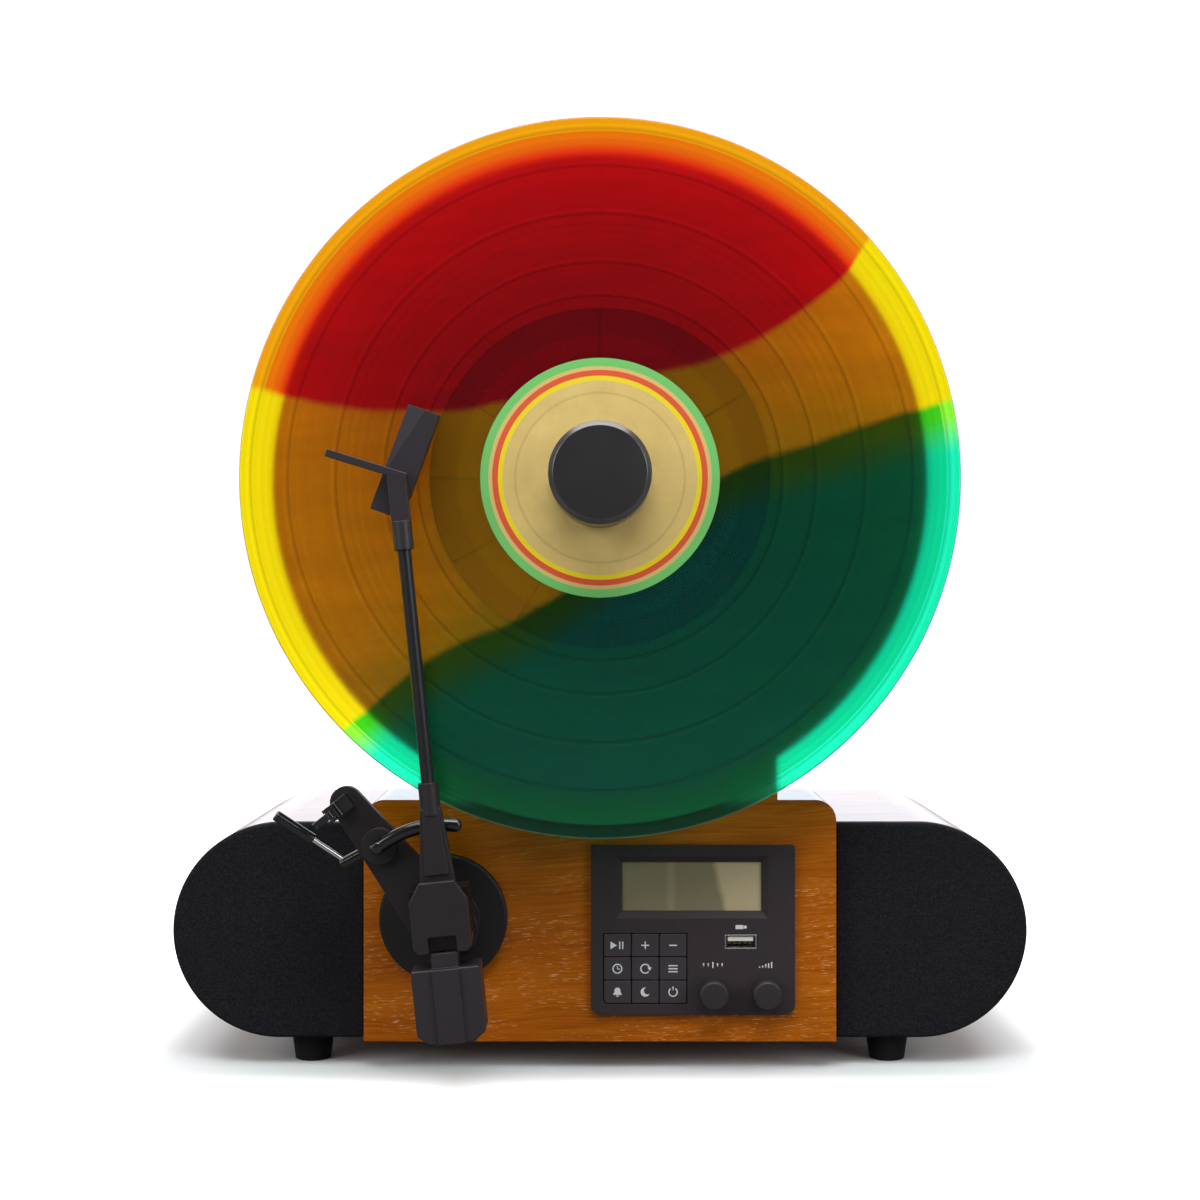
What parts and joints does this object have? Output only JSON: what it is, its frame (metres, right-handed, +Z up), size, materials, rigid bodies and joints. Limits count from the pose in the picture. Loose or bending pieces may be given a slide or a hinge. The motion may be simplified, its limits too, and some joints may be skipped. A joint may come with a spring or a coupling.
{
  "type": "vertical record player",
  "caption": "Upright record player: a round wooden board on a pill-shaped speaker cabinet holds the record on edge, with a leaning tonearm, a clamp and a control panel.",
  "frame": {"origin": "on the ground under the middle of the whole player's box", "axes": "+X to the right of a person facing the control panel, +Y from the front to the back, +Z up"},
  "size_m": [0.374, 0.2106, 0.4058],
  "materials": {
    "wood": "oiled veneer with a satin lacquer",
    "cloth": "fine woven speaker cloth",
    "fibreboard": "bare fibreboard",
    "black_plastic": "fine matte texture",
    "gloss_black": "polished",
    "black_steel": "satin black paint",
    "black_aluminium": "black anodised",
    "cone_paper": "pressed black paper",
    "magnet": "sintered ferrite",
    "rubber": "matte",
    "steel": "bright",
    "chrome": "polished",
    "brass": "turned",
    "window": "clear window over a grey-green liquid-crystal panel",
    "circuit": "solder mask",
    "vinyl": "translucent record vinyl in red, amber and green",
    "label_paper": "printed rings",
    "stylus_red": "moulded"
  },
  "bodies": {
    "base": {"cabinet_shell": "wood", "speaker_baffles": "fibreboard", "rear_cleats": "fibreboard", "rear_panel": "black_plastic", "left_grille": "cloth", "right_grille": "cloth", "driver_frames": "black_steel", "driver_cones": "cone_paper", "driver_magnets": "magnet", "feet": "rubber", "tower_shell": "wood", "tower_board": "wood", "tower_back_cover": "black_plastic", "screws": "steel", "control_fascia": "black_plastic", "display_window": "window", "display_module": "circuit", "circuit_boards": "circuit", "rotary_controls": "steel", "usb_socket": "steel", "power_inlet": "gloss_black", "line_out_jacks": "steel", "spindle_bearing": "brass", "drive_motor": "steel", "drive_belt": "rubber", "tonearm_base": "black_plastic", "arm_rest_bracket": "black_plastic"},
    "turntable": {"platter": "black_plastic", "platter_pad": "rubber", "spindle": "steel", "platter_pulley": "black_plastic", "record": "vinyl", "record_labels": "label_paper"},
    "clamp": {"record_clamp": "black_aluminium"},
    "motor": {"motor_pulley": "brass"},
    "arm_swing": {"pivot_shaft": "steel", "gimbal_yoke": "black_plastic", "gimbal_cap": "black_plastic", "lift_pin": "steel"},
    "arm_lift": {"arm_housing": "black_plastic", "arm_tube": "black_aluminium", "headshell": "black_plastic", "cartridge": "black_plastic", "stylus": "stylus_red", "counterweight": "black_steel"},
    "cue": {"cue_lever": "gloss_black", "cue_rod": "chrome"},
    "lift": {"lift_arc": "gloss_black"},
    "latch": {"rest_latch": "black_plastic"},
    "tune": {"tune_knob": "black_plastic"},
    "volume": {"volume_knob": "black_plastic"},
    "play": {"play_key": "black_plastic"},
    "preset_up": {"preset_up_key": "black_plastic"},
    "preset_down": {"preset_down_key": "black_plastic"},
    "time": {"time_key": "black_plastic"},
    "repeat": {"repeat_key": "black_plastic"},
    "mode": {"mode_key": "black_plastic"},
    "alarm": {"alarm_key": "black_plastic"},
    "sleep": {"sleep_key": "black_plastic"},
    "power": {"power_key": "black_plastic"}
  },
  "joints": [
    {"name": "platter_spin", "type": "hinge", "parent": "base", "child": "turntable", "pos_m": [0, -0.04118, 0.255], "axis": [0, 1, 0], "continuous": true},
    {"name": "motor_spin", "type": "hinge", "parent": "base", "child": "motor", "pos_m": [0.06128, -0.01018, 0.20358], "axis": [0, 1, 0], "continuous": true},
    {"name": "clamp_slide", "type": "slide", "parent": "turntable", "child": "clamp", "axis": [0, -1, 0], "range_m": [0, 0.02]},
    {"name": "tonearm_swing", "type": "hinge", "parent": "base", "child": "arm_swing", "pos_m": [-0.0639, -0.07418, 0.0665], "axis": [0, -1, 0], "range_deg": [-6.2, 32.2]},
    {"name": "tonearm_lift", "type": "hinge", "parent": "arm_swing", "child": "arm_lift", "pos_m": [-0.0639, -0.08718, 0.0665], "axis": [0.9949, 0, 0.1011], "range_deg": [0, 3]},
    {"name": "cue_lever_turn", "type": "hinge", "parent": "base", "child": "cue", "pos_m": [-0.09161, -0.06717, 0.10196], "axis": [0.8829, 0, 0.4695], "range_deg": [0, 60]},
    {"name": "lift_slide", "type": "slide", "parent": "base", "child": "lift", "axis": [0, -1, 0], "range_m": [0, 0.0033]},
    {"name": "rest_latch_turn", "type": "hinge", "parent": "base", "child": "latch", "pos_m": [-0.10924, -0.09474, 0.11699], "axis": [-0.6157, 0, 0.788], "range_deg": [0, 130]},
    {"name": "tune_knob_turn", "type": "hinge", "parent": "base", "child": "tune", "pos_m": [0.0488, -0.04718, 0.0348], "axis": [0, 1, 0], "continuous": true},
    {"name": "volume_knob_turn", "type": "hinge", "parent": "base", "child": "volume", "pos_m": [0.0716, -0.04718, 0.0348], "axis": [0, 1, 0], "range_deg": [0, 270]},
    {"name": "play_key_press", "type": "slide", "parent": "base", "child": "play", "axis": [0, 1, 0], "range_m": [0, 0.0006], "stiffness_N_per_m": 600, "springref_m": -0.0005},
    {"name": "preset_up_key_press", "type": "slide", "parent": "base", "child": "preset_up", "axis": [0, 1, 0], "range_m": [0, 0.0006], "stiffness_N_per_m": 600, "springref_m": -0.0005},
    {"name": "preset_down_key_press", "type": "slide", "parent": "base", "child": "preset_down", "axis": [0, 1, 0], "range_m": [0, 0.0006], "stiffness_N_per_m": 600, "springref_m": -0.0005},
    {"name": "time_key_press", "type": "slide", "parent": "base", "child": "time", "axis": [0, 1, 0], "range_m": [0, 0.0006], "stiffness_N_per_m": 600, "springref_m": -0.0005},
    {"name": "repeat_key_press", "type": "slide", "parent": "base", "child": "repeat", "axis": [0, 1, 0], "range_m": [0, 0.0006], "stiffness_N_per_m": 600, "springref_m": -0.0005},
    {"name": "mode_key_press", "type": "slide", "parent": "base", "child": "mode", "axis": [0, 1, 0], "range_m": [0, 0.0006], "stiffness_N_per_m": 600, "springref_m": -0.0005},
    {"name": "alarm_key_press", "type": "slide", "parent": "base", "child": "alarm", "axis": [0, 1, 0], "range_m": [0, 0.0006], "stiffness_N_per_m": 600, "springref_m": -0.0005},
    {"name": "sleep_key_press", "type": "slide", "parent": "base", "child": "sleep", "axis": [0, 1, 0], "range_m": [0, 0.0006], "stiffness_N_per_m": 600, "springref_m": -0.0005},
    {"name": "power_key_press", "type": "slide", "parent": "base", "child": "power", "axis": [0, 1, 0], "range_m": [0, 0.0006], "stiffness_N_per_m": 600, "springref_m": -0.0005}
  ],
  "couplings": [
    {"joint": "motor_spin", "follows": "platter_spin", "ratio": 8.563},
    {"joint": "cue_lever_turn", "follows": "tonearm_lift", "ratio": 20},
    {"joint": "lift_slide", "follows": "tonearm_lift", "m_per_rad": 0.063025}
  ]
}
